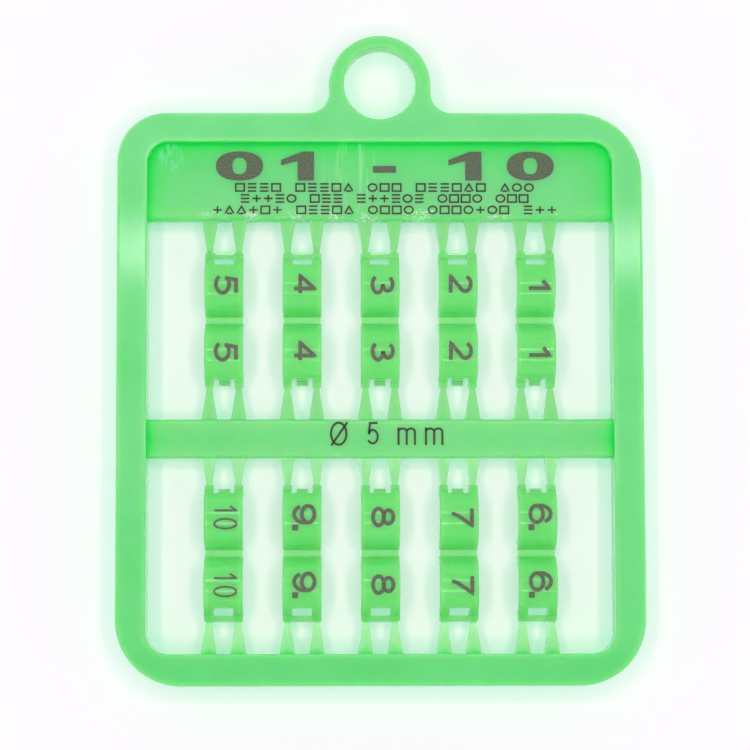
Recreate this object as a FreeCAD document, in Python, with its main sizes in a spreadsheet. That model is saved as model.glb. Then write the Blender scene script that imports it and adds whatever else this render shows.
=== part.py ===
import FreeCAD, Part
import math
import os
import Sketcher

# Poultry leg band card, moulded flat in one shot: a rectangular rim with a hanging loop,
# two recessed webs and two rows of hinged clip-on bands held by small tapered gates.
# Millimetres. Lies flat, print side up (+Z), hanging loop toward +Y, underside at z = 0.

SIZES = [
    # rim
    ("rim_height", 4.5),
    ("rim_side", 3.2),
    ("rim_top", 3.1),
    ("rim_bottom", 3.39),
    ("rim_corner", 7.0),
    ("rim_tight_corner", 5.15),
    ("rim_inner_corner", 2.2),
    ("edge_round", 0.3),
    # hanging loop
    ("loop_radius", 5.45),
    ("loop_rise", 2.95),
    ("loop_thickness", 2.4),
    ("loop_blend", 2.25),
    ("hang_hole_radius", 3.85),
    ("hang_hole_lift", 0.25),
    ("hang_hole_draft", 5),
    # webs that carry the print
    ("web_floor", 1.4),
    ("web_thickness", 1.6),
    ("web_let_in", 0.8),
    ("header_depth", 8.26),
    ("header_lap", 0.1),
    ("header_round", 0.65),
    ("header_under_round", 0.3),
    ("bar_width", 4.16),
    ("bar_shift", 0.32),
    ("bar_round", 0.45),
    # rows of bands
    ("band_count", 5),
    ("band_pitch", 8.32),
    ("side_gap", 6.08),
    ("row_gap", 10.34),
    ("gate_run", 3.38),
    # one band, opened flat
    ("band_width", 4.15),
    ("bore_radius", 2.5),
    ("band_wall", 0.8),
    ("parting_height", 1.1),
    ("hinge_land", 0.33),
    ("hinge_film", 0.3),
    ("hinge_inset", 0.1),
    ("end_land", 0.35),
    ("crown_round", 0.3),
    ("corner_round", 0.27),
    # slotted end
    ("cheek_height", 1.3),
    ("cheek_fall", 0.4),
    ("slot_width", 2.06),
    ("slot_root", 0.98),
    ("slot_open", 0.67),
    ("slot_lean", 0.25),
    ("ledge_height", 0.75),
    ("ledge_fall", 0.12),
    ("ledge_lip", 0.19),
    # forked end and its latch tongue
    ("prong_height", 0.7),
    ("prong_rise", 0.3),
    ("notch_width", 2.2),
    ("notch_root", 0.6),
    ("tongue_width", 1.2),
    ("tongue_thickness", 0.35),
    ("tongue_root", 0.5),
    ("tongue_drop", 1.0),
    ("hook_reach", 0.45),
    ("hook_point", 0.15),
    ("latch_clearance", 0.04),
    # gates
    ("gate_spacing", 3.12),
    ("gate_root_width", 1.78),
    ("gate_tip_width", 0.52),
    ("gate_root_height", 1.35),
    ("gate_tip_height", 0.7),
    ("gate_overlap", 0.5),
]

doc = FreeCAD.newDocument("leg_band_card")
sheet = doc.addObject("Spreadsheet::Sheet", "Sizes")
for row, (name, value) in enumerate(SIZES, start=1):
    sheet.set("A%d" % row, name)
    sheet.set("B%d" % row, str(value))
    sheet.setAlias("B%d" % row, name)
doc.recompute()


class Size:
    # A length with its number and the sheet formula that gives it.

    def __init__(self, value, text):
        self.value = value
        self.text = text

    def join(self, sign, other, result):
        right = other.text if isinstance(other, Size) else str(other)
        return Size(result, "(%s %s %s)" % (self.text, sign, right))

    def __add__(self, other):
        return self.join("+", other, self.value + number(other))

    def __sub__(self, other):
        return self.join("-", other, self.value - number(other))

    def __mul__(self, other):
        return self.join("*", other, self.value * number(other))

    def __truediv__(self, other):
        return self.join("/", other, self.value / number(other))

    def __neg__(self):
        return Size(-self.value, "(0 - %s)" % self.text)


def number(item):
    return item.value if isinstance(item, Size) else item


def size(name):
    return Size(dict(SIZES)[name], "Sizes.%s" % name)


# Places along the card, from the mirror line between the two rows.
parting = size("parting_height")
end_reach = size("bore_radius") + size("band_wall") + size("end_land")
hinge_reach = size("bore_radius") + size("band_wall") + size("hinge_land")
prong_end = size("row_gap") / 2
prong_bore = prong_end + end_reach
hinge_line = prong_bore + hinge_reach
slot_bore = hinge_line + hinge_reach
slot_end = slot_bore + end_reach
header_edge = slot_end + size("gate_run")
inner_top = header_edge + size("header_depth")
header_front = header_edge - size("header_lap")
outer_top = inner_top + size("rim_top")
inner_bottom = -header_edge
outer_bottom = inner_bottom - size("rim_bottom")
inner_half = (size("band_pitch") * (size("band_count") - 1) + size("band_width")) / 2 + size("side_gap")
outer_half = inner_half + size("rim_side")
loop_centre = outer_top + size("loop_rise")
hole_centre = loop_centre + size("hang_hole_lift")
loop_under = size("rim_height") - size("loop_thickness")
web_top = size("web_floor") + size("web_thickness")
bar_front = -(size("bar_width") / 2) - size("bar_shift")
bar_back = size("bar_width") / 2 - size("bar_shift")


def new_sketch(body, name, role, offset=None):
    drawing = body.newObject("Sketcher::SketchObject", name)
    plane = [item for item in body.Origin.OriginFeatures if item.Role == role][0]
    drawing.AttachmentSupport = [(plane, "")]
    drawing.MapMode = "FlatFace"
    if offset is not None:
        drawing.setExpression("AttachmentOffset.Base.z", offset.text)
    return drawing


def hold(drawing, kind, *where, length=None):
    # One constraint, tied to the sheet when it carries a length.
    if length is None:
        return drawing.addConstraint(Sketcher.Constraint(kind, *where))
    index = drawing.addConstraint(Sketcher.Constraint(kind, *where, length.value))
    drawing.setExpression("Constraints[%d]" % index, length.text)
    return index


def place(drawing, curve, end, across=None, up=None):
    if across is not None:
        hold(drawing, "DistanceX", -1, 1, curve, end, length=across)
    if up is not None:
        hold(drawing, "DistanceY", -1, 1, curve, end, length=up)


def polygon(drawing, corners):
    # Closed outline with straight sides, every corner held at its own place.
    points = [FreeCAD.Vector(across.value, up.value, 0) for across, up in corners]
    first = drawing.GeometryCount
    count = len(corners)
    for step in range(count):
        drawing.addGeometry(Part.LineSegment(points[step], points[(step + 1) % count]), False)
    for step in range(count):
        hold(drawing, "Coincident", first + step, 2, first + (step + 1) % count, 1)
        place(drawing, first + step, 1, corners[step][0], corners[step][1])


def box_outline(drawing, left, right, low, high):
    polygon(drawing, [(left, low), (right, low), (right, high), (left, high)])


def circle(drawing, radius, across, up):
    spot = FreeCAD.Vector(number(across), up.value, 0)
    curve = drawing.addGeometry(Part.Circle(spot, FreeCAD.Vector(0, 0, 1), radius.value), False)
    hold(drawing, "Radius", curve, length=radius)
    hold(drawing, "PointOnObject", curve, 3, -2)
    place(drawing, curve, 3, up=up)


def pad(body, name, drawing, length, symmetric=False):
    feature = body.newObject("PartDesign::Pad", name)
    feature.Profile = drawing
    feature.setExpression("Length", length.text)
    if symmetric:
        feature.SideType = "Symmetric"
    doc.recompute()
    return feature


def cut_through(body, name, drawing):
    feature = body.newObject("PartDesign::Pocket", name)
    feature.Profile = drawing
    feature.Type = "ThroughAll"
    feature.SideType = "Symmetric"
    doc.recompute()
    return feature


def cut_down(body, name, drawing, depth):
    feature = body.newObject("PartDesign::Pocket", name)
    feature.Profile = drawing
    feature.setExpression("Length", depth.text)
    doc.recompute()
    return feature


def cut_slot(body, name, drawing, width):
    feature = cut_down(body, name, drawing, width)
    feature.SideType = "Symmetric"
    doc.recompute()
    return feature


def edges(feature, test):
    return ["Edge%d" % (index + 1) for index, edge in enumerate(feature.Shape.Edges) if test(edge)]


def round_edges(body, name, base, chosen, radius):
    feature = body.newObject("PartDesign::Fillet", name)
    feature.Base = (base, chosen)
    feature.setExpression("Radius", radius.text)
    doc.recompute()
    return feature


def near(first, second):
    return abs(first - second) < 0.001


def flat_at(edge, height):
    box = edge.BoundBox
    return near(box.ZMin, height) and near(box.ZMax, height)


def upright(edge):
    box = edge.BoundBox
    return box.XLength < 0.001 and box.YLength < 0.001


# Rim: a rounded rectangle with a rounded window. The corner left of the loop is the tightest.
frame = doc.addObject("PartDesign::Body", "frame")
drawing = new_sketch(frame, "rim_outline", "XY_Plane")
box_outline(drawing, -outer_half, outer_half, outer_bottom, outer_top)
rim = pad(frame, "rim", drawing, size("rim_height"))


def rim_corner_edge(edge, side, ends):
    box = edge.BoundBox
    return upright(edge) and near(box.XMin, side.value) and any(near(box.YMin, end.value) for end in ends)


tight = edges(rim, lambda edge: rim_corner_edge(edge, -outer_half, [outer_top]))
rim = round_edges(frame, "tight_corner", rim, tight, size("rim_tight_corner"))
wide = edges(
    rim,
    lambda edge: rim_corner_edge(edge, outer_half, [outer_bottom, outer_top])
    or rim_corner_edge(edge, -outer_half, [outer_bottom]),
)
rim = round_edges(frame, "rim_corners", rim, wide, size("rim_corner"))
drawing = new_sketch(frame, "window_outline", "XY_Plane")
box_outline(drawing, -inner_half, inner_half, inner_bottom, inner_top)
window = cut_through(frame, "window", drawing)
window_corners = edges(window, lambda edge: upright(edge) and near(abs(edge.BoundBox.XMin), inner_half.value))
window = round_edges(frame, "window_corners", window, window_corners, size("rim_inner_corner"))

# Hanging loop: a flat eye flush with the rim's top face, blended into the top edge.
drawing = new_sketch(frame, "loop_outline", "XY_Plane", loop_under)
blend = size("loop_blend")
blend_height = outer_top + blend
spread = math.sqrt((size("loop_radius") + blend).value ** 2 - (blend_height - loop_centre).value ** 2)
root = outer_top - size("rim_top") / 2
upward = FreeCAD.Vector(0, 0, 1)
tilt = math.atan2((blend_height - loop_centre).value, spread)
eye = Part.Circle(FreeCAD.Vector(0, loop_centre.value, 0), upward, size("loop_radius").value)
eye_arc = drawing.addGeometry(Part.ArcOfCircle(eye, tilt, math.pi - tilt), False)
right = Part.Circle(FreeCAD.Vector(spread, blend_height.value, 0), upward, blend.value)
right_arc = drawing.addGeometry(Part.ArcOfCircle(right, math.pi + tilt, 1.5 * math.pi), False)
left = Part.Circle(FreeCAD.Vector(-spread, blend_height.value, 0), upward, blend.value)
left_arc = drawing.addGeometry(Part.ArcOfCircle(left, 1.5 * math.pi, 2 * math.pi - tilt), False)
feet = [
    FreeCAD.Vector(spread, outer_top.value, 0),
    FreeCAD.Vector(spread, root.value, 0),
    FreeCAD.Vector(-spread, root.value, 0),
    FreeCAD.Vector(-spread, outer_top.value, 0),
]
right_side = drawing.addGeometry(Part.LineSegment(feet[0], feet[1]), False)
under = drawing.addGeometry(Part.LineSegment(feet[1], feet[2]), False)
left_side = drawing.addGeometry(Part.LineSegment(feet[2], feet[3]), False)
hold(drawing, "Tangent", eye_arc, 1, right_arc, 1)
hold(drawing, "Tangent", eye_arc, 2, left_arc, 2)
hold(drawing, "Coincident", right_arc, 2, right_side, 1)
hold(drawing, "Coincident", right_side, 2, under, 1)
hold(drawing, "Coincident", under, 2, left_side, 1)
hold(drawing, "Coincident", left_side, 2, left_arc, 1)
hold(drawing, "PointOnObject", eye_arc, 3, -2)
place(drawing, eye_arc, 3, up=loop_centre)
hold(drawing, "Radius", eye_arc, length=size("loop_radius"))
for arc, side, foot in ((right_arc, right_side, 2), (left_arc, left_side, 1)):
    hold(drawing, "Radius", arc, length=blend)
    hold(drawing, "Vertical", side)
    place(drawing, arc, 3, up=blend_height)
    hold(drawing, "Vertical", arc, 3, arc, foot)
place(drawing, under, 1, up=root)
place(drawing, under, 2, up=root)
loop = pad(frame, "loop", drawing, size("loop_thickness"))

# Small moulding radius on the top and bottom edges.
rounded = edges(loop, lambda edge: flat_at(edge, size("rim_height").value) or flat_at(edge, 0))
rims = round_edges(frame, "rim_edges", loop, rounded, size("edge_round"))

# Hanging hole: straight through the loop, then widening downward with a moulding draft where
# it nicks the rim's edge below the loop.
drawing = new_sketch(frame, "hang_nick_outline", "XY_Plane", loop_under)
circle(drawing, size("hang_hole_radius"), 0, hole_centre)
nick = cut_down(frame, "hang_nick", drawing, loop_under)
nick.setExpression("TaperAngle", size("hang_hole_draft").text)
doc.recompute()
drawing = new_sketch(frame, "hang_hole_outline", "XY_Plane", size("rim_height"))
circle(drawing, size("hang_hole_radius"), 0, hole_centre)
hole = cut_down(frame, "hang_hole", drawing, size("loop_thickness"))
hole_edge = edges(
    hole,
    lambda edge: flat_at(edge, size("rim_height").value)
    and near(edge.BoundBox.XMax, size("hang_hole_radius").value),
)
hole = round_edges(frame, "hang_hole_edge", hole, hole_edge, size("edge_round"))

# Header web and crossbar: recessed below the rim, let into it at both ends.
web_half = inner_half + size("web_let_in")
drawing = new_sketch(frame, "header_outline", "XY_Plane", size("web_floor"))
box_outline(drawing, -web_half, web_half, header_front, inner_top + size("web_let_in"))
pad(frame, "header", drawing, size("web_thickness"))
drawing = new_sketch(frame, "bar_outline", "XY_Plane", size("web_floor"))
box_outline(drawing, -web_half, web_half, bar_front, bar_back)
bar = pad(frame, "bar", drawing, size("web_thickness"))


def long_edge(edge, places):
    box = edge.BoundBox
    level = near(box.ZMin, size("web_floor").value) or near(box.ZMax, web_top.value)
    lengthwise = box.YLength < 0.001 and box.ZLength < 0.001
    return level and lengthwise and any(near(box.YMin, spot.value) for spot in places)


header_line = edges(bar, lambda edge: long_edge(edge, [header_front]) and flat_at(edge, web_top.value))
header = round_edges(frame, "header_edge", bar, header_line, size("header_round"))
under_line = edges(
    header,
    lambda edge: long_edge(edge, [header_front]) and flat_at(edge, size("web_floor").value),
)
header = round_edges(frame, "header_under_edge", header, under_line, size("header_under_round"))
bar_lines = edges(header, lambda edge: long_edge(edge, [bar_front, bar_back]))
webs = round_edges(frame, "bar_edges", header, bar_lines, size("bar_round"))
frame.Tip = webs

# One band opened flat: two half rings joined by a thin hinge, drawn as a section along Y.
bands = doc.addObject("PartDesign::Body", "bands")
ring = size("bore_radius") + size("band_wall")
film_top = parting + size("hinge_film")
prong_top = parting + size("prong_height")
prong_bend = size("prong_height") + size("prong_rise")
cheek_top = parting + size("cheek_height")
cheek_foot = cheek_top - size("cheek_fall")


def arc_over(drawing, centre, radius, first, last):
    # Arc about a bore centre between two heights above the parting plane, right end first.
    start = math.asin(first / radius.value)
    stop = math.pi - math.asin(last / radius.value)
    whole = Part.Circle(FreeCAD.Vector(centre.value, parting.value, 0), upward, radius.value)
    curve = drawing.addGeometry(Part.ArcOfCircle(whole, start, stop), False)
    hold(drawing, "Radius", curve, length=radius)
    place(drawing, curve, 3, centre, parting)
    return curve


def join_line(drawing, start, stop):
    return drawing.addGeometry(Part.LineSegment(start, stop), False)


drawing = new_sketch(bands, "band_section", "YZ_Plane")
prong_arc = arc_over(drawing, prong_bore, ring, number(size("hinge_film")), number(prong_bend))
slot_arc = arc_over(drawing, slot_bore, ring, number(size("cheek_height")), number(size("hinge_film")))
prong_bore_arc = arc_over(drawing, prong_bore, size("bore_radius"), 0, 0)
slot_bore_arc = arc_over(drawing, slot_bore, size("bore_radius"), 0, 0)
curves = drawing.Geometry
spots = [
    curves[slot_arc].StartPoint,
    FreeCAD.Vector(slot_end.value, cheek_foot.value, 0),
    FreeCAD.Vector(slot_end.value, parting.value, 0),
    curves[slot_bore_arc].StartPoint,
    curves[slot_bore_arc].EndPoint,
    curves[prong_bore_arc].StartPoint,
    curves[prong_bore_arc].EndPoint,
    FreeCAD.Vector(prong_end.value, parting.value, 0),
    FreeCAD.Vector(prong_end.value, prong_top.value, 0),
    curves[prong_arc].EndPoint,
]
cheek = join_line(drawing, spots[0], spots[1])
slot_face = join_line(drawing, spots[1], spots[2])
slot_foot = join_line(drawing, spots[2], spots[3])
middle = join_line(drawing, spots[4], spots[5])
prong_foot = join_line(drawing, spots[6], spots[7])
prong_face = join_line(drawing, spots[7], spots[8])
prong = join_line(drawing, spots[8], spots[9])
film = join_line(drawing, curves[prong_arc].StartPoint, curves[slot_arc].EndPoint)
for first, first_end, second, second_end in (
    (slot_arc, 1, cheek, 1),
    (cheek, 2, slot_face, 1),
    (slot_face, 2, slot_foot, 1),
    (slot_foot, 2, slot_bore_arc, 1),
    (slot_bore_arc, 2, middle, 1),
    (middle, 2, prong_bore_arc, 1),
    (prong_bore_arc, 2, prong_foot, 1),
    (prong_foot, 2, prong_face, 1),
    (prong_face, 2, prong, 1),
    (prong, 2, prong_arc, 2),
    (prong_arc, 1, film, 1),
    (film, 2, slot_arc, 2),
):
    hold(drawing, "Coincident", first, first_end, second, second_end)
place(drawing, cheek, 1, up=cheek_top)
place(drawing, cheek, 2, slot_end, cheek_foot)
place(drawing, slot_foot, 1, slot_end, parting)
place(drawing, slot_foot, 2, up=parting)
place(drawing, middle, 1, up=parting)
place(drawing, middle, 2, up=parting)
place(drawing, prong_foot, 1, up=parting)
place(drawing, prong_foot, 2, prong_end, parting)
place(drawing, prong, 1, prong_end, prong_top)
place(drawing, prong, 2, up=parting + prong_bend)
place(drawing, film, 1, up=film_top)
place(drawing, film, 2, up=film_top)
shell = pad(bands, "band_shell", drawing, size("band_width"), symmetric=True)

# Soft edges over both crowns and at the four corners of the flat band.
half_width = size("band_width") / 2


def crown_edge(edge):
    box = edge.BoundBox
    on_side = box.XLength < 0.001 and near(abs(box.XMin), half_width.value)
    return on_side and near(box.ZMax, (parting + ring).value)


shell = round_edges(bands, "crown_edges", shell, edges(shell, crown_edge), size("crown_round"))


def end_corner(edge):
    box = edge.BoundBox
    at_end = near(box.YMin, prong_end.value) or near(box.YMax, slot_end.value)
    return upright(edge) and at_end


shell = round_edges(bands, "end_corners", shell, edges(shell, end_corner), size("corner_round"))

# Narrowed hinge: a shallow nick at each side of the film.
drawing = new_sketch(bands, "hinge_nicks", "XY_Plane")
land = size("hinge_land")
nick_inner = half_width - size("hinge_inset")
nick_outer = half_width + size("hinge_inset")
box_outline(drawing, nick_inner, nick_outer, hinge_line - land, hinge_line + land)
box_outline(drawing, -nick_outer, -nick_inner, hinge_line - land, hinge_line + land)
cut_through(bands, "hinge_sides", drawing)

# Slotted end: a window through the wall and a low ledge outside it for the hook.
drawing = new_sketch(bands, "slot_section", "YZ_Plane")
sky = parting + ring + size("band_wall")
slot_back = slot_end - size("end_land") - size("slot_root")
slot_front = slot_back + size("slot_open")
lip = slot_end - size("ledge_lip")
ledge_low = parting + size("ledge_height") - size("ledge_fall")
below = parting - size("band_wall")
beyond = slot_end + size("end_land")
polygon(
    drawing,
    [
        (slot_back, parting),
        (slot_back, below),
        (slot_front, below),
        (slot_front, parting + size("ledge_height")),
        (lip, ledge_low),
        (beyond, ledge_low),
        (beyond, sky),
        (slot_back - size("slot_lean"), parting + ring),
        (slot_back - size("slot_lean"), sky),
    ],
)
cut_slot(bands, "slot", drawing, size("slot_width"))

# Forked end: a notch between two prongs, with the latch tongue hanging in it.
drawing = new_sketch(bands, "notch_section", "YZ_Plane")
notch_back = prong_end + size("end_land") + size("notch_root")
box_outline(drawing, prong_end - size("end_land"), notch_back, below, sky)
cut_slot(bands, "notch", drawing, size("notch_width"))
drawing = new_sketch(bands, "tongue_section", "YZ_Plane")
tongue_in = prong_bore - size("bore_radius")
tongue_out = tongue_in - size("tongue_thickness")
hook_tip = tongue_out - size("hook_reach")
catch = parting - size("ledge_height") - size("latch_clearance")
tongue_foot = parting - size("tongue_drop")
polygon(
    drawing,
    [
        (tongue_in, parting + size("tongue_root")),
        (tongue_in, tongue_foot),
        (tongue_out, tongue_foot),
        (hook_tip, catch - size("hook_point")),
        (hook_tip, catch),
        (tongue_out, catch),
        (tongue_out, parting + size("tongue_root")),
    ],
)
pad(bands, "tongue", drawing, size("tongue_width"), symmetric=True)

# Gates: tapered runners from both ends of the band to the header, bar or rim.
gate_line = size("gate_spacing") / 2


def gate_section(name, where, width, low, height):
    drawing = new_sketch(bands, name, "XZ_Plane", -where)
    box_outline(drawing, gate_line - width / 2, gate_line + width / 2, low, low + height)
    return drawing


def gate(name, tip_place, root_place):
    tip = gate_section(name + "_tip", tip_place, size("gate_tip_width"), parting, size("gate_tip_height"))
    root_low = size("web_floor")
    wide = size("gate_root_width")
    base = gate_section(name + "_root", root_place, wide, root_low, size("gate_root_height"))
    runner = bands.newObject("PartDesign::AdditiveLoft", name)
    runner.Profile = tip
    runner.Sections = [base]
    doc.recompute()
    return runner


overlap = size("gate_overlap")
slot_gate = gate("slot_gate", slot_end - size("corner_round"), header_edge + overlap)
prong_gate = gate("prong_gate", prong_end + size("corner_round"), bar_back - overlap)
pair = bands.newObject("PartDesign::Mirrored", "gate_pairs")
pair.Originals = [slot_gate, prong_gate]
pair.MirrorPlane = ([item for item in bands.Origin.OriginFeatures if item.Role == "YZ_Plane"][0], [""])
bands.Tip = pair
doc.recompute()

# Five bands in a row, and the same row turned over about the line between the rows.
across = bands.newObject("PartDesign::LinearPattern", "band_row")
across.TransformMode = "Whole shape"
across.Direction = ([item for item in bands.Origin.OriginFeatures if item.Role == "X_Axis"][0], [""])
across.Mode = "Spacing"
across.setExpression("Offset", size("band_pitch").text)
across.setExpression("Occurrences", size("band_count").text)
bands.Tip = across
doc.recompute()
rows = bands.newObject("PartDesign::Mirrored", "band_rows")
rows.TransformMode = "Whole shape"
rows.MirrorPlane = ([item for item in bands.Origin.OriginFeatures if item.Role == "XZ_Plane"][0], [""])
bands.Tip = rows
row_start = -(size("band_pitch") * (size("band_count") - 1) / 2)
bands.setExpression("Placement.Base.x", row_start.text)
doc.recompute()

# The whole moulding is one solid, with its origin under the middle of its outline.
card = doc.addObject("Part::MultiFuse", "leg_band_card")
card.Label = "leg_band_card"
card.Shapes = [frame, bands]
card.Refine = True
middle_shift = (outer_bottom + loop_centre + size("loop_radius")) / 2
card.setExpression("Placement.Base.y", (-middle_shift).text)
doc.recompute()

for item in doc.Objects:
    if "Invalid" in item.State or "Error" in item.State:
        raise RuntimeError("%s did not build" % item.Name)
    if hasattr(item, "Shape") and item.isDerivedFrom("PartDesign::Feature"):
        if item.Shape.isNull() or not item.Shape.isValid():
            raise RuntimeError("%s has no valid shape" % item.Name)
if card.Shape.isNull() or not card.Shape.isValid() or len(card.Shape.Solids) != 1:
    raise RuntimeError("the card is not one valid solid")

os.makedirs("parts", exist_ok=True)
card.Shape.exportStep("parts/leg_band_card.step")
print("leg_band_card", card.Shape.BoundBox, round(card.Shape.Volume, 1))
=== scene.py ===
import math
import bmesh
import bpy
from mathutils import Matrix, Vector


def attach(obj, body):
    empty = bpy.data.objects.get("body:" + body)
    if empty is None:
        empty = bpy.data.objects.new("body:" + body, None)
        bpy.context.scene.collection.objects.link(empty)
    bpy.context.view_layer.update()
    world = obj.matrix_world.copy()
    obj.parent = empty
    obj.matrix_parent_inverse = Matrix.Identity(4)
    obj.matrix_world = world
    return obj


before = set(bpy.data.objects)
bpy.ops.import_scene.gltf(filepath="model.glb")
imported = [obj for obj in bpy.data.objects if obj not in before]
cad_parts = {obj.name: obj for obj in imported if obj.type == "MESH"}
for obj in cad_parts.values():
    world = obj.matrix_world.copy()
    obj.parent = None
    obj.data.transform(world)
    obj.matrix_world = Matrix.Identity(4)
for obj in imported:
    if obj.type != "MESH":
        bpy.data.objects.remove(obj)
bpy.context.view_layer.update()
bpy.ops.object.select_all(action="DESELECT")

# Camera: a long lens looks almost straight down from a third of a metre, from over the card's
# lower rim and a little left of its middle, so the top rim's inner wall shows and the bottom
# rim's inner wall hides.
MM = 0.001
SENSOR_WIDTH = 36.0
LENS_LENGTH = 140.9
NEAREST = 0.01
FARTHEST = 20.0
CAMERA_TILT = math.radians(-0.12)
eye = Vector((-5.64 * MM, -30.45 * MM, 314.3 * MM))
aim = Vector((-0.5 * MM, -1.46 * MM, 0.0))
lens_data = bpy.data.cameras.new("card_camera")
lens_data.sensor_width = SENSOR_WIDTH
lens_data.lens = LENS_LENGTH
lens_data.clip_start = NEAREST
lens_data.clip_end = FARTHEST
camera = bpy.data.objects.new("card_camera", lens_data)
bpy.context.scene.collection.objects.link(camera)
look = (aim - eye).normalized()
side = look.cross(Vector((0, 1, 0))).normalized()
upright = Matrix((side, side.cross(look), -look)).transposed()
turned = upright @ Matrix.Rotation(CAMERA_TILT, 3, "Z")
camera.matrix_world = Matrix.Translation(eye) @ turned.to_4x4()
bpy.context.scene.camera = camera


# Stage: a matt white sheet under the card, inside a white light tent that is brightest low down,
# with long soft strip lights above. Seen past the shadows, sheet and background are plain white.
def linear(code):
    # An sRGB hex colour as linear red, green, blue and a full alpha.
    parts = [int(code[start:start + 2], 16) / 255 for start in (1, 3, 5)]
    return (
        *(part / 12.92 if part <= 0.04045 else ((part + 0.055) / 1.055) ** 2.4 for part in parts),
        1.0,
    )


def add_node(tree, kind, settings=None, inputs=None):
    # A node with its settings, each input set to a value or linked from a socket.
    node = tree.nodes.new(kind)
    for name, value in (settings or {}).items():
        setattr(node, name, value)
    for name, value in (inputs or {}).items():
        if isinstance(value, bpy.types.NodeSocket):
            tree.links.new(value, node.inputs[name])
        else:
            node.inputs[name].default_value = value
    return node


def new_material(name):
    # A node material with no nodes yet, and its node tree.
    material = bpy.data.materials.new(name)
    material.use_nodes = True
    material.node_tree.nodes.clear()
    return material, material.node_tree


def shown_plain(tree):
    # 1 for the rays that show the stage itself: seen directly, mirrored or through something clear.
    path = add_node(tree, "ShaderNodeLightPath")
    mirrored = add_node(
        tree, "ShaderNodeMath", {"operation": "MAXIMUM"},
        {0: path.outputs["Is Camera Ray"], 1: path.outputs["Is Glossy Ray"]},
    )
    return add_node(
        tree, "ShaderNodeMath", {"operation": "MAXIMUM"},
        {0: mirrored.outputs[0], 1: path.outputs["Is Transmission Ray"]},
    ).outputs[0]


def strip_light(name, place, turn, length, width, power):
    # A long soft light that faces straight down.
    data = bpy.data.lights.new(name, "AREA")
    data.shape = "RECTANGLE"
    data.size = length
    data.size_y = width
    data.energy = power
    strip = bpy.data.objects.new(name, data)
    bpy.context.scene.collection.objects.link(strip)
    strip.location = place
    strip.rotation_euler = (0, 0, math.radians(turn))
    return strip


# Matt white paper: no gloss at all. It is written a trace less green than white, since the
# card's light turns it green. Its plain look is lifted a little, and more where the strips'
# light fades far from the card, so that it is white wherever no shadow falls.
SHEET_SIZE = 6.0
SHEET_DROP = 0.01 * MM
LIFT_NEAR = 0.12
LIFT_FAR = 0.62
FADED_AT = 0.6
paper, tree = new_material("matt_white_paper")
bounced = add_node(tree, "ShaderNodeBsdfDiffuse", None, {"Color": linear("#f7f7f7")})
seen_sheet = add_node(tree, "ShaderNodeBsdfDiffuse", None, {"Color": linear("#fff9ff")})
spot = add_node(tree, "ShaderNodeTexCoord")
away = add_node(tree, "ShaderNodeVectorMath", {"operation": "LENGTH"}, {0: spot.outputs["Object"]})
evened = add_node(
    tree, "ShaderNodeMapRange", {"interpolation_type": "SMOOTHSTEP"},
    {
        "Value": away.outputs["Value"],
        "From Min": 0.0,
        "From Max": FADED_AT,
        "To Min": LIFT_NEAR,
        "To Max": LIFT_FAR,
    },
)
lift = add_node(
    tree, "ShaderNodeEmission", None,
    {"Color": linear("#ffffff"), "Strength": evened.outputs["Result"]},
)
bright = add_node(tree, "ShaderNodeAddShader", None, {0: seen_sheet.outputs[0], 1: lift.outputs[0]})
sheet_shader = add_node(
    tree, "ShaderNodeMixShader", None,
    {0: shown_plain(tree), 1: bounced.outputs[0], 2: bright.outputs[0]},
)
add_node(tree, "ShaderNodeOutputMaterial", None, {"Surface": sheet_shader.outputs[0]})
bpy.ops.mesh.primitive_plane_add(size=SHEET_SIZE, location=(0, 0, -SHEET_DROP))
floor = bpy.context.object
floor.name = "paper_floor"
floor.data.materials.append(paper)

# Four strips around the camera light the card evenly. Two weak, narrow strips are seen only in
# the plastic's gloss, as a faint line along each side of a crown.
STRIP_HEIGHT = 0.5
STRIP_LENGTH = 0.36
STRIP_WIDTH = 0.045
STRIP_POWER = 0.49
STRIP_SIDE = 0.198
GLINT_HEIGHT = 0.107
GLINT_LENGTH = 0.11
GLINT_WIDTH = 0.006
for name, place, turn, share in (
    ("strip_front", (0, -0.226, STRIP_HEIGHT), 0, 0.72),
    ("strip_back", (0, 0.183, STRIP_HEIGHT), 0, 0.78),
    ("strip_left", (-STRIP_SIDE, 0, STRIP_HEIGHT), 90, 1.08),
    ("strip_right", (STRIP_SIDE, 0, STRIP_HEIGHT), 90, 1.08),
):
    strip = strip_light(name, place, turn, STRIP_LENGTH, STRIP_WIDTH, share * STRIP_POWER)
    strip.visible_glossy = False
for name, along_card, power in (("glint_back", 0.0255, 0.028), ("glint_front", -0.05, 0.026)):
    place = (0, along_card, GLINT_HEIGHT)
    glint = strip_light(name, place, 0, GLINT_LENGTH, GLINT_WIDTH, power)
    glint.visible_diffuse = False
    glint.visible_transmission = False

# The tent's light by height: strong at the horizon, weak from TENT_TURN, the steepness above
# which it no longer changes.
TENT_LOW = 1.42
TENT_HIGH = 0.22
TENT_TURN = 0.7
world = bpy.data.worlds.new("white_light_tent")
bpy.context.scene.world = world
world.use_nodes = True
tree = world.node_tree
tree.nodes.clear()
facing = add_node(tree, "ShaderNodeTexCoord")
split = add_node(tree, "ShaderNodeSeparateXYZ", None, {"Vector": facing.outputs["Generated"]})
low_light = add_node(
    tree, "ShaderNodeMapRange", {"interpolation_type": "SMOOTHSTEP"},
    {
        "Value": split.outputs["Z"],
        "From Min": 0.0,
        "From Max": TENT_TURN,
        "To Min": TENT_LOW,
        "To Max": TENT_HIGH,
    },
)
ambient = add_node(
    tree, "ShaderNodeBackground", None,
    {"Color": linear("#ffffff"), "Strength": low_light.outputs["Result"]},
)
plain = add_node(tree, "ShaderNodeBackground", None, {"Color": linear("#ffffff"), "Strength": 1.0})
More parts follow.
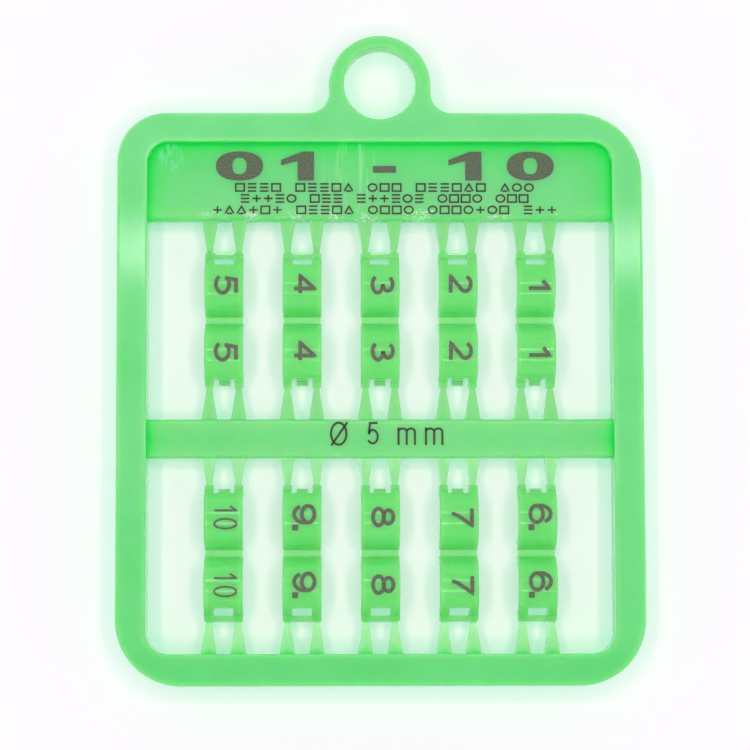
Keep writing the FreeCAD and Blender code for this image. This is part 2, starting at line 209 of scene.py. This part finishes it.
seen = add_node(
    tree, "ShaderNodeMixShader", None,
    {0: shown_plain(tree), 1: ambient.outputs[0], 2: plain.outputs[0]},
)
add_node(tree, "ShaderNodeOutputWorld", None, {"Surface": seen.outputs[0]})
bpy.context.scene.view_settings.view_transform = "Standard"

# Card: one injection moulding of polypropylene tinted mint green, waxy and half clear. Its pale edges
# and thin films are painted light and its shut-in corners painted shade, for light going in and out
# of it; its shadow is green. Painted light makes its upper end a little paler than its lower end.
CLOUD_SIZE = 6 * MM
END_DISTANCE = 34 * MM
END_LIGHT_SHARE = 0.5
plastic, tree = new_material("mint_green_polypropylene")
place = add_node(tree, "ShaderNodeTexCoord")
cloud = add_node(
    tree, "ShaderNodeTexNoise", {"noise_dimensions": "3D"},
    {"Vector": place.outputs["Object"], "Scale": 1 / CLOUD_SIZE, "Detail": 3.0, "Roughness": 0.5},
)
along = add_node(tree, "ShaderNodeSeparateXYZ", None, {"Vector": place.outputs["Object"]})
# Painted light: the card's upper end is painted paler than its lower end.
reach = add_node(tree, "ShaderNodeMath", {"operation": "DIVIDE"}, {0: along.outputs["Y"], 1: END_DISTANCE})
painted_end_light = add_node(tree, "ShaderNodeMath", {"operation": "POWER"}, {0: reach.outputs[0], 1: 3.0})
paler = add_node(
    tree, "ShaderNodeMath", {"operation": "MULTIPLY_ADD"},
    {0: painted_end_light.outputs[0], 1: END_LIGHT_SHARE, 2: cloud.outputs["Fac"]},
)
tint = add_node(
    tree, "ShaderNodeMix", {"data_type": "RGBA"},
    {"Factor": paler.outputs[0], 6: linear("#6de486"), 7: linear("#8eeca1")},
)


def plastic_reach(inside, distance, samples, low, high):
    # How much plastic lies under a spot, or how openly it lies among its neighbours, from 0 to 1.
    found = add_node(
        tree, "ShaderNodeAmbientOcclusion", {"inside": inside, "only_local": True, "samples": samples},
        {"Distance": distance},
    )
    return add_node(
        tree, "ShaderNodeMapRange", None,
        {"Value": found.outputs["AO"], "From Min": low, "From Max": high},
    ).outputs["Result"]


def blend(amount, first, second):
    # One colour passing into another: first where the amount is 0, second where it is 1.
    return add_node(
        tree, "ShaderNodeMix", {"data_type": "RGBA"}, {"Factor": amount, 6: first, 7: second},
    ).outputs[2]


def product(first, second):
    # One amount times another, such as a pattern times the patch that it is kept to.
    return add_node(tree, "ShaderNodeMath", {"operation": "MULTIPLY"}, {0: first, 1: second}).outputs[0]


# Painted light and shade: edges within 0.7 mm of a corner and walls thinner than 2 mm are painted
# pale for light through the plastic, and spots shut in by neighbours within 5 mm painted as shade.
wall = plastic_reach(True, 2 * MM, 4, 0.1, 0.73)
# Painted light: edges within 0.7 mm of a corner are painted pale.
painted_edge_light = plastic_reach(True, 0.7 * MM, 4, 0.2, 0.97)
# Painted shade: spots shut in by neighbours are painted a darker, stronger green.
opening = plastic_reach(False, 5 * MM, 12, 0.58, 1.0)
# Painted light: thin walls are painted pale, as light shining through them.
painted_thin_light = blend(wall, linear("#7ae478"), tint.outputs[2])
hollow = add_node(tree, "ShaderNodeMapRange", None, {"Value": wall, "From Min": 0.2, "From Max": 0.6})
painted_corner_shade = blend(hollow.outputs["Result"], linear("#82e88a"), linear("#04ea5e"))
painted_light_and_shade = blend(painted_edge_light, linear("#a8eea4"), blend(opening, painted_corner_shade, painted_thin_light))

# The gates are painted paler still, as light through their thin plastic. Both rows lie alike on
# each side of the crossbar, so the gates are found by their distance from its middle line.
BAR_MIDDLE = -8.185 * MM
INNER_GATES_END = (5.4 * MM, 4.9 * MM)
OUTER_GATES_START = (19.8 * MM, 20.2 * MM)
OUTER_GATES_END = (23.4 * MM, 22.8 * MM)
GATE_LIGHT_SHARE = 0.5
shifted_y = add_node(
    tree, "ShaderNodeMath", {"operation": "SUBTRACT"}, {0: along.outputs["Y"], 1: BAR_MIDDLE},
)
from_middle = add_node(tree, "ShaderNodeMath", {"operation": "ABSOLUTE"}, {0: shifted_y.outputs[0]})


def ramp(start, full):
    # From 0 to 1 between two distances from the crossbar's middle line.
    return add_node(
        tree, "ShaderNodeMapRange", None,
        {"Value": from_middle.outputs[0], "From Min": start, "From Max": full},
    ).outputs["Result"]


outer_gates = product(ramp(*OUTER_GATES_START), ramp(*OUTER_GATES_END))
at_gates = add_node(tree, "ShaderNodeMath", None, {0: ramp(*INNER_GATES_END), 1: outer_gates})
thin = add_node(tree, "ShaderNodeMath", {"operation": "SUBTRACT"}, {0: 1.0, 1: wall})
# Painted light: the gates are painted paler where they are thin.
with_gate_light = blend(
    product(at_gates.outputs[0], product(thin.outputs[0], GATE_LIGHT_SHARE)), painted_light_and_shade, linear("#b5f0b5"),
)


def patch(centre, reach):
    # 1 in the middle of an oval patch of the card's face, falling to 0 at its border.
    shifted = add_node(
        tree, "ShaderNodeVectorMath", {"operation": "SUBTRACT"},
        {0: place.outputs["Object"], 1: (*centre, 3 * MM)},
    )
    scaled = add_node(
        tree, "ShaderNodeVectorMath", {"operation": "DIVIDE"},
        {0: shifted.outputs[0], 1: (*reach, 2 * MM)},
    )
    far = add_node(tree, "ShaderNodeVectorMath", {"operation": "LENGTH"}, {0: scaled.outputs[0]})
    return add_node(
        tree, "ShaderNodeMapRange", {"interpolation_type": "SMOOTHSTEP"},
        {"Value": far.outputs["Value"], "From Min": 1.0, "From Max": 0.6},
    ).outputs["Result"]


def marbling(cell, low, high):
    # Patches of noise whose cells have the given length along each axis.
    stretched = add_node(
        tree, "ShaderNodeVectorMath", {"operation": "DIVIDE"}, {0: place.outputs["Object"], 1: cell},
    )
    noise = add_node(
        tree, "ShaderNodeTexNoise", None,
        {"Vector": stretched.outputs[0], "Scale": 1.0, "Detail": 2.0, "Roughness": 0.6},
    )
    return add_node(
        tree, "ShaderNodeMapRange", None,
        {"Value": noise.outputs["Fac"], "From Min": low, "From Max": high},
    ).outputs["Result"]


# On the header: flow streaks left of its middle, real flow lines with a painted sheen; a pale bluish
# patch in its upper left corner; and painted glints on the ragged edge where its gates start.
FLOW_SHEEN_PLACE = (-3.2 * MM, 20.0 * MM)
FLOW_SHEEN_REACH = (3.4 * MM, 4.6 * MM)
FLOW_SHEEN_CELL = (0.5 * MM, 9 * MM, 9 * MM)
PALE_PATCH_PLACE = (-22.4 * MM, 21.7 * MM)
PALE_PATCH_REACH = (1.6 * MM, 1.7 * MM)
PALE_PATCH_CELL = (0.4 * MM, 1.5 * MM, 3 * MM)
RAGGED_PLACE = (-1.0 * MM, 15.4 * MM)
RAGGED_REACH = (24 * MM, 0.9 * MM)
RAGGED_CELL = (2.6 * MM, 1.5 * MM, 3 * MM)
PAINTED_GLINT_CELL = (0.25 * MM, 0.2 * MM, 0.4 * MM)
# Painted sheen: the real flow streaks are painted pale, as light off them.
flow_sheen = product(patch(FLOW_SHEEN_PLACE, FLOW_SHEEN_REACH), marbling(FLOW_SHEEN_CELL, 0.48, 0.66))
with_flow_sheen = blend(product(flow_sheen, 0.45), with_gate_light, linear("#c4f8cc"))
# A pale bluish-green patch laid in the header's upper left corner.
pale_patch = product(patch(PALE_PATCH_PLACE, PALE_PATCH_REACH), marbling(PALE_PATCH_CELL, 0.42, 0.62))
with_pale_patch = blend(product(pale_patch, 0.4), with_flow_sheen, linear("#a8fbe4"))
ragged = product(patch(RAGGED_PLACE, RAGGED_REACH), marbling(RAGGED_CELL, 0.5, 0.62))
# Painted highlights: near-white glints in the ragged band.
painted_glints = product(ragged, marbling(PAINTED_GLINT_CELL, 0.48, 0.6))
surface = blend(product(painted_glints, 0.9), with_pale_patch, linear("#f2fff0"))

# The skin: smooth with a fine grain. Green light wanders farthest inside it, and a shadow ray
# that meets it goes through green, so the paper beside it is lit green.
GRAIN_SIZE = 0.25 * MM
GRAIN_DEPTH = 0.02 * MM
WANDER_LENGTH = 0.8 * MM
SHADOW_SHARE = 0.83
grain = add_node(
    tree, "ShaderNodeTexNoise", None,
    {"Vector": place.outputs["Object"], "Scale": 1 / GRAIN_SIZE, "Detail": 2.0, "Roughness": 0.6},
)
relief = add_node(
    tree, "ShaderNodeBump", None,
    {"Strength": 0.12, "Distance": GRAIN_DEPTH, "Height": grain.outputs["Fac"]},
)
skin = add_node(
    tree, "ShaderNodeBsdfPrincipled", {"subsurface_method": "RANDOM_WALK"},
    {
        "Base Color": surface,
        "Roughness": 0.12,
        "IOR": 1.49,
        "Specular IOR Level": 0.3,
        "Subsurface Weight": 1.0,
        "Subsurface Radius": (0.5, 1.6, 0.6),
        "Subsurface Scale": WANDER_LENGTH,
        "Normal": relief.outputs["Normal"],
    },
)
path = add_node(tree, "ShaderNodeLightPath")
let_in = add_node(
    tree, "ShaderNodeMath", {"operation": "MULTIPLY"},
    {0: path.outputs["Is Shadow Ray"], 1: SHADOW_SHARE},
)
through = add_node(tree, "ShaderNodeBsdfTransparent", None, {"Color": linear("#74eada")})
body = add_node(
    tree, "ShaderNodeMixShader", None,
    {0: let_in.outputs[0], 1: skin.outputs["BSDF"], 2: through.outputs["BSDF"]},
)
add_node(tree, "ShaderNodeOutputMaterial", None, {"Surface": body.outputs["Shader"]})
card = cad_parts["leg_band_card"]
card.data.materials.clear()
card.data.materials.append(plastic)


# Band numbers: figures hot-stamped in grey foil on both crowns of each band, reading with their
# tops toward the right side. Each figure is drawn once, flat, and its copies are pressed on.
POINT_STEP = 0.2 * MM
MERGE_SHARE = 0.01
MITRE_LIMIT = 0.6
ABOVE_CARD = 6 * MM
FOIL_GAP = 0.022 * MM
FOIL_THICKNESS = 0.012 * MM


def arc(centre_x, centre_y, radius_x, radius_y, start, stop, steps=20):
    # Points of an elliptical arc between two angles in degrees.
    turns = [math.radians(start + (stop - start) * step / steps) for step in range(steps + 1)]
    return [
        (centre_x + radius_x * math.cos(turn), centre_y + radius_y * math.sin(turn)) for turn in turns
    ]


def divided(points):
    # The same line with extra points, so that it can follow a curved crown.
    line = [Vector(points[0])]
    for point in points[1:]:
        start = line[-1].copy()
        run = Vector(point) - start
        count = max(1, math.ceil(run.length / POINT_STEP))
        line += [start + run * part / count for part in range(1, count + 1)]
    return line


def stroke_edges(line, width):
    # The left and right end of a stroke's edge at each point, mitred where the line turns.
    closed = (line[0] - line[-1]).length < MERGE_SHARE * POINT_STEP
    last = len(line) - 1
    pairs = []
    for index, point in enumerate(line):
        if index > 0:
            before = point - line[index - 1]
        elif closed:
            before = line[0] - line[-2]
        else:
            before = line[1] - point
        if index < last:
            after = line[index + 1] - point
        elif closed:
            after = line[1] - line[0]
        else:
            after = before
        left = Vector((-after.y, after.x)).normalized()
        across = (Vector((-before.y, before.x)).normalized() + left).normalized()
        reach = across * width / 2 / max(MITRE_LIMIT, across.dot(left))
        pairs.append((point + reach, point - reach))
    return pairs


def draw_figure(name, strokes):
    # A flat figure: a plane laid at the start of each stroke, its far edge extruded on to each
    # further pair of left and right ends.
    for number, pairs in enumerate(strokes):
        bpy.ops.mesh.primitive_plane_add(size=POINT_STEP)
        if number == 0:
            figure = bpy.context.object
            figure.name = name
            bpy.ops.object.mode_set(mode="EDIT")
        mesh = bmesh.from_edit_mesh(figure.data)
        laid = [vert for vert in mesh.verts if vert.select]
        corners = sorted(laid, key=lambda vert: (vert.co.y, vert.co.x))
        for vert, spot in zip(corners, (*pairs[0], *pairs[1])):
            vert.co = (*spot, 0)
        for vert in corners[:2]:
            vert.select = False
        mesh.select_flush_mode()
        left = corners[2].co.copy()
        for pair in pairs[2:]:
            bpy.ops.mesh.extrude_region_move()
            mesh = bmesh.from_edit_mesh(figure.data)
            grown = [vert for vert in mesh.verts if vert.select]
            ordered = sorted(grown, key=lambda vert: (vert.co - left).length)
            for vert, spot in zip(ordered, pair):
                vert.co = (*spot, 0)
            left = ordered[0].co.copy()
        bmesh.update_edit_mesh(figure.data)
    bpy.ops.mesh.select_all(action="SELECT")
    bpy.ops.mesh.remove_doubles(threshold=MERGE_SHARE * POINT_STEP)
    bpy.ops.object.mode_set(mode="OBJECT")
    figure.select_set(False)
    return figure


def sized_figure(name, lines, width, height, stroke):
    # A figure drawn in a unit box, brought to its own width, height and stroke.
    strokes = []
    for points in lines:
        line = divided([
            (stroke / 2 + across * (width - stroke), stroke / 2 + up * (height - stroke))
            for across, up in points
        ])
        strokes.append(stroke_edges(line, stroke))
    return draw_figure(name, strokes)


def press_on(name, parts, quarter_turns, ink):
    # Copies of flat figures at their places, joined, dropped on the plastic and given a thickness.
    bpy.ops.object.select_all(action="DESELECT")
    for figure, spot in parts:
        piece = figure.copy()
        piece.data = figure.data.copy()
        bpy.context.scene.collection.objects.link(piece)
        piece.location = (*spot, ABOVE_CARD)
        piece.rotation_euler = (0, 0, math.radians(90 * quarter_turns))
        piece.select_set(True)
        bpy.context.view_layer.objects.active = piece
    if len(parts) > 1:
        bpy.ops.object.join()
    bpy.ops.object.transform_apply(location=True, rotation=True, scale=True)
    piece = bpy.context.object
    piece.name = name
    piece.data.name = name
    drop = piece.modifiers.new("drop", "SHRINKWRAP")
    drop.target = card
    drop.wrap_method = "PROJECT"
    drop.wrap_mode = "ABOVE_SURFACE"
    drop.use_project_z = True
    drop.use_negative_direction = True
    drop.use_positive_direction = False
    drop.offset = FOIL_GAP
    film = piece.modifiers.new("film", "SOLIDIFY")
    film.thickness = FOIL_THICKNESS
    film.offset = 1.0
    bpy.ops.object.modifier_apply(modifier="drop")
    bpy.ops.object.modifier_apply(modifier="film")
    piece.data.materials.append(ink)
    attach(piece, "root")
    piece.select_set(False)


def foil_ink(name, dark, pale, speck):
    # Matt stamped foil whose speckle shows where it took on the plastic less well.
    ink, tree = new_material(name)
    place = add_node(tree, "ShaderNodeTexCoord")
    specks = add_node(
        tree, "ShaderNodeTexNoise", None,
        {"Vector": place.outputs["Object"], "Scale": 1 / speck, "Detail": 2.0, "Roughness": 0.7},
    )
    spread = add_node(
        tree, "ShaderNodeMapRange", None,
        {"Value": specks.outputs["Fac"], "From Min": 0.35, "From Max": 0.65},
    )
    shade = add_node(
        tree, "ShaderNodeMix", {"data_type": "RGBA"},
        {"Factor": spread.outputs["Result"], 6: linear(dark), 7: linear(pale)},
    )
    rough = add_node(
        tree, "ShaderNodeMapRange", None,
        {"Value": specks.outputs["Fac"], "To Min": 0.5, "To Max": 0.8},
    )
    relief = add_node(
        tree, "ShaderNodeBump", None,
        {"Strength": 0.3, "Distance": 0.01 * MM, "Height": specks.outputs["Fac"]},
    )
    film = add_node(
        tree, "ShaderNodeBsdfPrincipled", None,
        {
            "Base Color": shade.outputs[2],
            "Roughness": rough.outputs["Result"],
            "Normal": relief.outputs["Normal"],
        },
    )
    add_node(tree, "ShaderNodeOutputMaterial", None, {"Surface": film.outputs["BSDF"]})
    return ink


# Each digit's strokes as points and arcs in a unit box, foot at 0 and top at 1.
LINES = {
    "0": [arc(0.5, 0.5, 0.5, 0.5, 0, 360, 32)],
    "1": [[(1, 0), (1, 1), (0, 0.7)]],
    "2": [arc(0.47, 0.72, 0.44, 0.28, 165, -35) + [(0, 0), (1, 0)]],
    "3": [arc(0.48, 0.76, 0.42, 0.24, 155, -90), arc(0.5, 0.26, 0.5, 0.26, 90, -155)],
    "4": [[(0.74, 0), (0.74, 1), (0, 0.3), (1, 0.3)]],
    "5": [[(0.99, 1), (0.22, 1), (0.1, 0.44)], [(0.1, 0.5)] + arc(0.48, 0.33, 0.52, 0.33, 118, -150)],
    "6": [arc(0.5, 0.5, 0.5, 0.5, 25, 200), arc(0.5, 0.31, 0.5, 0.31, 0, 360, 32)],
    "7": [[(0, 1), (1, 1), (0.68, 0.62), (0.42, 0.3), (0.28, 0)]],
    "8": [arc(0.5, 0.76, 0.4, 0.24, 0, 360, 28), arc(0.5, 0.27, 0.5, 0.27, 0, 360, 32)],
    "9": [arc(0.5, 0.5, 0.5, 0.5, 20, -155), arc(0.5, 0.69, 0.5, 0.31, 0, 360, 32)],
}
# Hot-stamping foil, worn grey: matt, with a coarse speckle of 0.16 mm where the green shows.
grey_foil = foil_ink("worn_grey_stamping_foil", "#454d3a", "#6e7a62", 0.16 * MM)
NUMBER_HEIGHT = 2.54 * MM
NUMBER_FOOT = -1.02 * MM
NUMBER_STROKE = 0.4 * MM
THIN_STROKE = 0.21 * MM
THIN_GAP = 0.69 * MM
DOT_SIZE = 0.62 * MM
BAND_PITCH = 8.32 * MM
MIDDLE_COLUMN = 2
CROWN_LINES = ((7.82 * MM, 0.66 * MM), (-16.92 * MM, -24.05 * MM))
ROW_NUMBERS = ((5, 4, 3, 2, 1), (10, 9, 8, 7, 6))
DOTTED = (6, 9)
OWN_WIDTHS = {"1": 1.23 * MM, "4": 2.26 * MM}
USUAL_WIDTH = 2.16 * MM
widths = {digit: OWN_WIDTHS.get(digit, USUAL_WIDTH) for digit in LINES}
figures = {
    digit: sized_figure("figure_" + digit, lines, widths[digit], NUMBER_HEIGHT, NUMBER_STROKE)
    for digit, lines in LINES.items()
}
for digit, thin_width in (("1", 0.68 * MM), ("0", 1.22 * MM)):
    name = "thin_" + digit
    widths[name] = thin_width
    figures[name] = sized_figure("figure_" + name, LINES[digit], thin_width, NUMBER_HEIGHT, THIN_STROKE)
dot = divided([(0, DOT_SIZE / 2), (DOT_SIZE, DOT_SIZE / 2)])
figures["dot"] = draw_figure("figure_dot", [stroke_edges(dot, DOT_SIZE)])
widths["dot"] = DOT_SIZE
for row, numbers in enumerate(ROW_NUMBERS):
    for column, number in enumerate(numbers):
        signs = [str(number)]
        gap = 0
        if number == 10:
            signs = ["thin_1", "thin_0"]
            gap = THIN_GAP
        elif number in DOTTED:
            signs = [str(number), "dot"]
        foot = (column - MIDDLE_COLUMN) * BAND_PITCH + NUMBER_FOOT
        for half, crown in enumerate(CROWN_LINES[row]):
            across = crown + (sum(widths[sign] for sign in signs) + gap * (len(signs) - 1)) / 2
            parts = []
            for sign in signs:
                parts.append((figures[sign], (foot, across)))
                across -= widths[sign] + gap
            press_on("band_%d_number_%d" % (number, half + 1), parts, -1, grey_foil)

# Header range: heavy wide figures and a dash, hot-stamped in the same worn grey foil across the
# header's upper half. Each is drawn once, its foot on the header's writing line.
HEADER_FOOT = 19.2 * MM
HEADER_HEIGHT = 3.11 * MM
ZERO_HALF_WIDTH = 2.52 * MM
EYE_HALF_WIDTH = 0.76 * MM
EYE_HALF_HEIGHT = 0.9 * MM
STEM_WIDTH = 1.75 * MM
STEM_SHOULDER = 1.24 * MM
FLAG_REACH = 3.54 * MM
FLAG_DROPS = (0.89 * MM, 1.49 * MM)
NECK_DROPS = (0.2 * MM, 1.0 * MM)
DASH_ENDS = (-0.72 * MM, 1.75 * MM)
DASH_WIDTH = 0.72 * MM
DASH_RISE = 1.2 * MM


def oval_point(half_wide, half_high, power, turn):
    # A point of an oval that bulges more toward its corners the higher its power.
    across = math.cos(turn)
    up = math.sin(turn)
    return (
        math.copysign(abs(across) ** (2 / power), across) * half_wide,
        math.copysign(abs(up) ** (2 / power), up) * half_high + HEADER_HEIGHT / 2,
    )


zero = []
for step in range(73):
    turn = math.radians(5 * step)
    inner = oval_point(EYE_HALF_WIDTH, EYE_HALF_HEIGHT, 2.5, turn)
    outer = oval_point(ZERO_HALF_WIDTH, HEADER_HEIGHT / 2, 2.3, turn)
    zero.append((inner, outer))
figures["heavy_0"] = draw_figure("figure_heavy_0", [zero])
flag = [
    tuple((-FLAG_REACH, HEADER_HEIGHT - drop) for drop in FLAG_DROPS),
    tuple((-STEM_WIDTH, HEADER_HEIGHT - drop) for drop in NECK_DROPS),
]
stem = [
    ((-STEM_WIDTH, HEADER_HEIGHT - NECK_DROPS[0]), (-STEM_WIDTH, 0)),
    ((-STEM_SHOULDER, HEADER_HEIGHT), (-STEM_SHOULDER, 0)),
    ((0, HEADER_HEIGHT), (0, 0)),
]
figures["heavy_1"] = draw_figure("figure_heavy_1", [flag, stem])
dash = divided([(end, 0) for end in DASH_ENDS])
figures["dash"] = draw_figure("figure_dash", [stroke_edges(dash, DASH_WIDTH)])
press_on(
    "header_range",
    [
        (figures["heavy_0"], (-15.02 * MM, HEADER_FOOT)),
        (figures["heavy_1"], (-7.04 * MM, HEADER_FOOT)),
        (figures["dash"], (0, HEADER_FOOT + DASH_RISE)),
        (figures["heavy_1"], (10.92 * MM, HEADER_FOOT)),
        (figures["heavy_0"], (16.16 * MM, HEADER_FOOT)),
    ],
    0,
    grey_foil,
)

# Header marks: three rows of small plain shapes in groups of unlike length, hot-stamped in a thin
# dark foil under the range. Five shapes are drawn once and take turns along the rows.
# Dark hot-stamping foil: matt and closed, with a finer speckle of 0.1 mm.
dark_foil = foil_ink("dark_stamping_foil", "#262a14", "#3a4426", 0.1 * MM)
MARK_WIDTH = 1.08 * MM
MARK_HEIGHT = 0.95 * MM
MARK_STROKE = 0.17 * MM
MARK_LINES = (
    [[(0, 0), (1, 0), (1, 1), (0, 1), (0, 0)]],
    [[(0.5, 0), (0.5, 1)], [(0, 0.5), (1, 0.5)]],
    [arc(0.5, 0.5, 0.5, 0.5, 0, 360, 20)],
    [[(0, 0), (1, 0)], [(0, 0.5), (1, 0.5)], [(0, 1), (1, 1)]],
    [[(0, 0), (0.5, 1), (1, 0)], [(0.2, 0), (0.8, 0)]],
)
# Each row's left and right end, its foot and the number of marks in each of its groups.
MARK_ROWS = (
    (-15.5 * MM, 16.54 * MM, 17.96 * MM, (4, 5, 3, 6, 3)),
    (-14.96 * MM, 15.96 * MM, 16.77 * MM, (5, 3, 6, 4, 3)),
    (-17.9 * MM, 18.99 * MM, 15.54 * MM, (6, 5, 4, 7, 3)),
)
marks = [
    sized_figure("mark_%d" % number, lines, MARK_WIDTH, MARK_HEIGHT, MARK_STROKE)
    for number, lines in enumerate(MARK_LINES)
]
for row, (left, right, foot, groups) in enumerate(MARK_ROWS):
    pitch = (right - left - MARK_WIDTH) / (sum(groups) + len(groups) - 2)
    parts = []
    spot = 0
    for group in groups:
        for index in range(group):
            shape = marks[(3 * row + 2 * spot + index * index) % len(marks)]
            parts.append((shape, (left + spot * pitch, foot)))
            spot += 1
        spot += 1
    press_on("header_marks_%d" % (row + 1), parts, 0, dark_foil)

# Size mark: the diameter sign, a five and the unit, hot-stamped in the same dark foil, with thin
# strokes, along the middle of the crossbar.
THIN = 0.22 * MM
RING_CENTRE = (-4.42 * MM, -8.0 * MM)
RING_REACH = (0.82 * MM, 1.17 * MM)
SLASH_ENDS = ((-5.2 * MM, -9.25 * MM), (-3.5 * MM, -6.78 * MM))
FIVE_WIDTH = 1.26 * MM
FIVE_HEIGHT = 2.4 * MM
FIVE_SPOT = (-1.42 * MM, -9.15 * MM)
UNIT_STARTS = (1.94 * MM, 4.86 * MM)
UNIT_FOOT = -9.22 * MM
UNIT_TOP = -7.35 * MM
HUMP = 0.435 * MM
ring = [Vector(point) for point in arc(*RING_CENTRE, *RING_REACH, 0, 360, 36)]
slash = divided(SLASH_ENDS)
unit = []
for left in UNIT_STARTS:
    unit.append(divided([(left, UNIT_FOOT), (left, UNIT_TOP)]))
    for start in (left, left + 2 * HUMP):
        hump = arc(start + HUMP, UNIT_TOP - HUMP, HUMP, HUMP - THIN / 2, 180, 0, 12)
        unit.append(divided(hump + [(start + 2 * HUMP, UNIT_FOOT)]))
sign = draw_figure("figure_sign", [stroke_edges(line, THIN) for line in (ring, slash, *unit)])
five = sized_figure("figure_thin_5", LINES["5"], FIVE_WIDTH, FIVE_HEIGHT, THIN)
press_on("size_mark", [(sign, (0, 0)), (five, FIVE_SPOT)], 0, dark_foil)
for figure in (*figures.values(), *marks, sign, five):
    bpy.data.objects.remove(figure)
